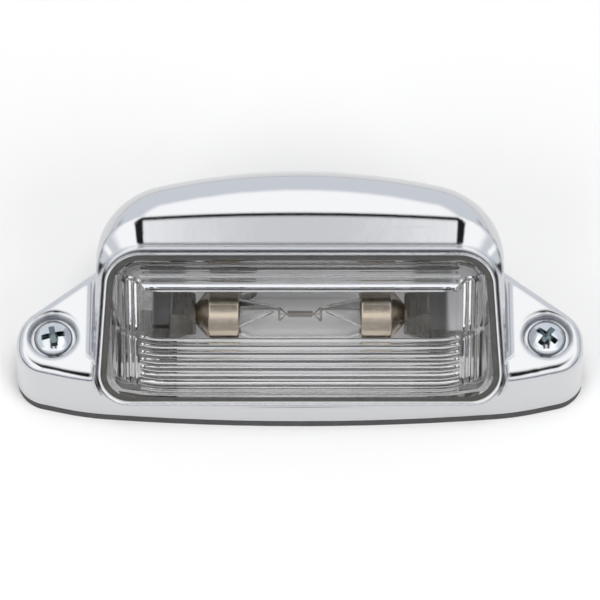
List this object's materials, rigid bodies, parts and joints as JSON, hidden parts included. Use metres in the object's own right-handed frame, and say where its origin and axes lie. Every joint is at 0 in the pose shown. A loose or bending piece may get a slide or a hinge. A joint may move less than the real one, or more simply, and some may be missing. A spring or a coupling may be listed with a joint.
{
  "type": "number plate lamp",
  "caption": "Surface-mounted number plate lamp: chromed hood with two screw ears, clear fluted lens, double-ended bulb on spring contacts and a rubber base gasket",
  "frame": {"origin": "On the mounting surface, midway between the two screw axes", "axes": "+X across the lamp along the line of the screws, +Y away from the lens, +Z out of the mounting surface along the screws; the lens looks to -Y and +Z"},
  "size_m": [0.118, 0.0463, 0.0487],
  "materials": {
    "chrome": "polished",
    "clear_lens": "clear",
    "black_rubber": "matte",
    "zinc_plate": "satin",
    "zinc_screw": "bright",
    "bulb_glass": "clear",
    "bulb_cap": "nickel",
    "bulb_wire": "satin",
    "contact_metal": "nickel",
    "fibre": "matte"
  },
  "bodies": {
    "root": {"housing": "chrome", "lens": "clear_lens", "lens_gasket": "black_rubber", "base_gasket": "black_rubber", "base_plate": "zinc_plate", "mounting_screws": "zinc_screw", "bulb_glass": "bulb_glass", "bulb_cap_left": "bulb_cap", "bulb_cap_right": "bulb_cap", "bulb_lead_left": "bulb_wire", "bulb_lead_right": "bulb_wire", "bulb_filament": "bulb_wire", "contact_left": "contact_metal", "contact_right": "contact_metal", "contact_rivets": "contact_metal", "live_terminal": "contact_metal", "contact_insulator": "fibre", "rivet_bushes": "fibre", "wire_grommet": "black_rubber"}
  },
  "joints": []
}
